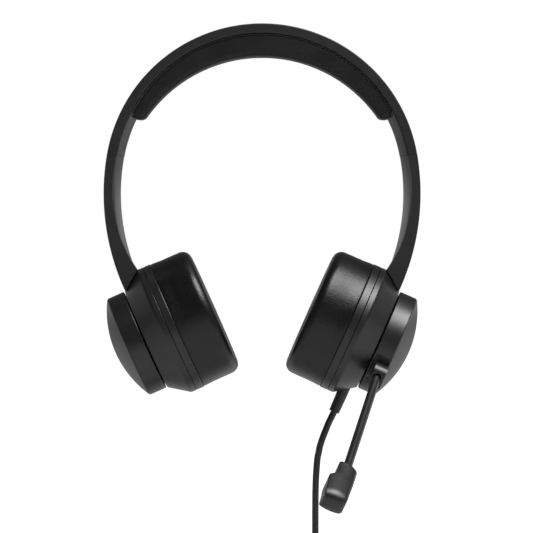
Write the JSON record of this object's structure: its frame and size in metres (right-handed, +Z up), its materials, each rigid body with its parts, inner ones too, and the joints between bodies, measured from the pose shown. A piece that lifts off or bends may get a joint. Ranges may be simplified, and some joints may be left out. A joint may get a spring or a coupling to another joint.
{
  "type": "office headset",
  "caption": "On-ear office headset with a padded headband, sliding arms, tilting ear cups, a swinging microphone boom and a coiled USB cable.",
  "frame": {"origin": "the crown point in the middle of the head pad's inner face, where it rests on the head", "axes": "+Z up, away from the head; the wearer faces -Y; +X is the wearer's left, the side of the microphone and the cable"},
  "size_m": [0.1685, 0.1659, 0.3086],
  "materials": {
    "shell_black": "fine matte texture, moulded",
    "crown_black": "smooth satin, moulded",
    "cup_black": "satin, moulded",
    "dome_black": "satin gloss, moulded",
    "leatherette": "soft, finely grained, black",
    "slider_nylon": "smooth nylon",
    "steel": "plated",
    "spring_steel": "tempered strip",
    "plug_steel": "nickel plated",
    "magnet": "zinc plated",
    "film": "thin clear film",
    "acoustic_cloth": "fine woven mesh",
    "foam": "open cell foam",
    "board_green": "solder mask with small parts",
    "cable_black": "smooth matte jacket",
    "plug_black": "matte overmould",
    "plug_insert": "white insert with gold contacts"
  },
  "bodies": {
    "headband": {"headband_shell": "shell_black", "headband_liner": "crown_black", "right_band_cover": "crown_black", "left_band_cover": "crown_black", "spring_band": "spring_steel", "spring_screws": "steel", "liner_screws": "steel", "guide_screws": "steel", "detent_springs": "spring_steel", "head_pad": "leatherette"},
    "right_arm": {"right_arm_shell": "shell_black", "right_arm_cover": "crown_black", "right_slider_strip": "slider_nylon", "right_yoke": "slider_nylon", "right_arm_screws": "steel"},
    "left_arm": {"left_arm_shell": "shell_black", "left_arm_cover": "crown_black", "left_slider_strip": "slider_nylon", "left_yoke": "slider_nylon", "left_arm_screws": "steel"},
    "right_cup": {"right_cup_housing": "cup_black", "right_cushion_ring": "cup_black", "right_speaker_frame": "cup_black", "right_speaker_magnet": "magnet", "right_speaker_diaphragm": "film", "right_ear_mesh": "acoustic_cloth", "right_ear_cushion": "leatherette", "right_pivot_pin": "steel", "right_cup_screws": "steel", "circuit_board": "board_green", "strain_relief": "cable_black", "cable": "cable_black", "cable_coil": "cable_black", "cable_tail": "cable_black", "coil_tie": "acoustic_cloth", "usb_plug_body": "plug_black", "usb_plug_shell": "plug_steel", "usb_plug_tongue": "plug_insert"},
    "left_cup": {"left_cup_housing": "cup_black", "left_cushion_ring": "cup_black", "left_speaker_frame": "cup_black", "left_speaker_magnet": "magnet", "left_speaker_diaphragm": "film", "left_ear_mesh": "acoustic_cloth", "left_ear_cushion": "leatherette", "left_pivot_pin": "steel", "left_cup_screws": "steel", "left_outer_disc": "cup_black", "left_dome_cap": "dome_black", "left_hub_clip": "spring_steel"},
    "boom": {"boom_disc": "cup_black", "boom_dome_cap": "dome_black", "boom_clip": "spring_steel", "boom_tube": "shell_black", "mic_shell": "cup_black", "mic_cover": "crown_black", "mic_element": "steel", "mic_foam": "foam"}
  },
  "joints": [
    {"name": "right_slider", "type": "hinge", "parent": "headband", "child": "right_arm", "pos_m": [-0.08048, 0, -0.07599], "axis": [0, 1, 0], "range_deg": [0, 6.45]},
    {"name": "left_slider", "type": "hinge", "parent": "headband", "child": "left_arm", "pos_m": [0.08048, 0, -0.07599], "axis": [0, -1, 0], "range_deg": [0, 6.45]},
    {"name": "right_cup_tilt", "type": "hinge", "parent": "right_arm", "child": "right_cup", "pos_m": [0.05897, 0, -0.11809], "axis": [0, 1, 0], "range_deg": [-4, 4]},
    {"name": "left_cup_tilt", "type": "hinge", "parent": "left_arm", "child": "left_cup", "pos_m": [-0.05897, 0, -0.11809], "axis": [0, -1, 0], "range_deg": [-4, 4]},
    {"name": "boom_swing", "type": "hinge", "parent": "right_cup", "child": "boom", "pos_m": [0.06285, 0, -0.1428], "axis": [-0.9135, 0, 0.4067], "range_deg": [-165, 120]}
  ]
}
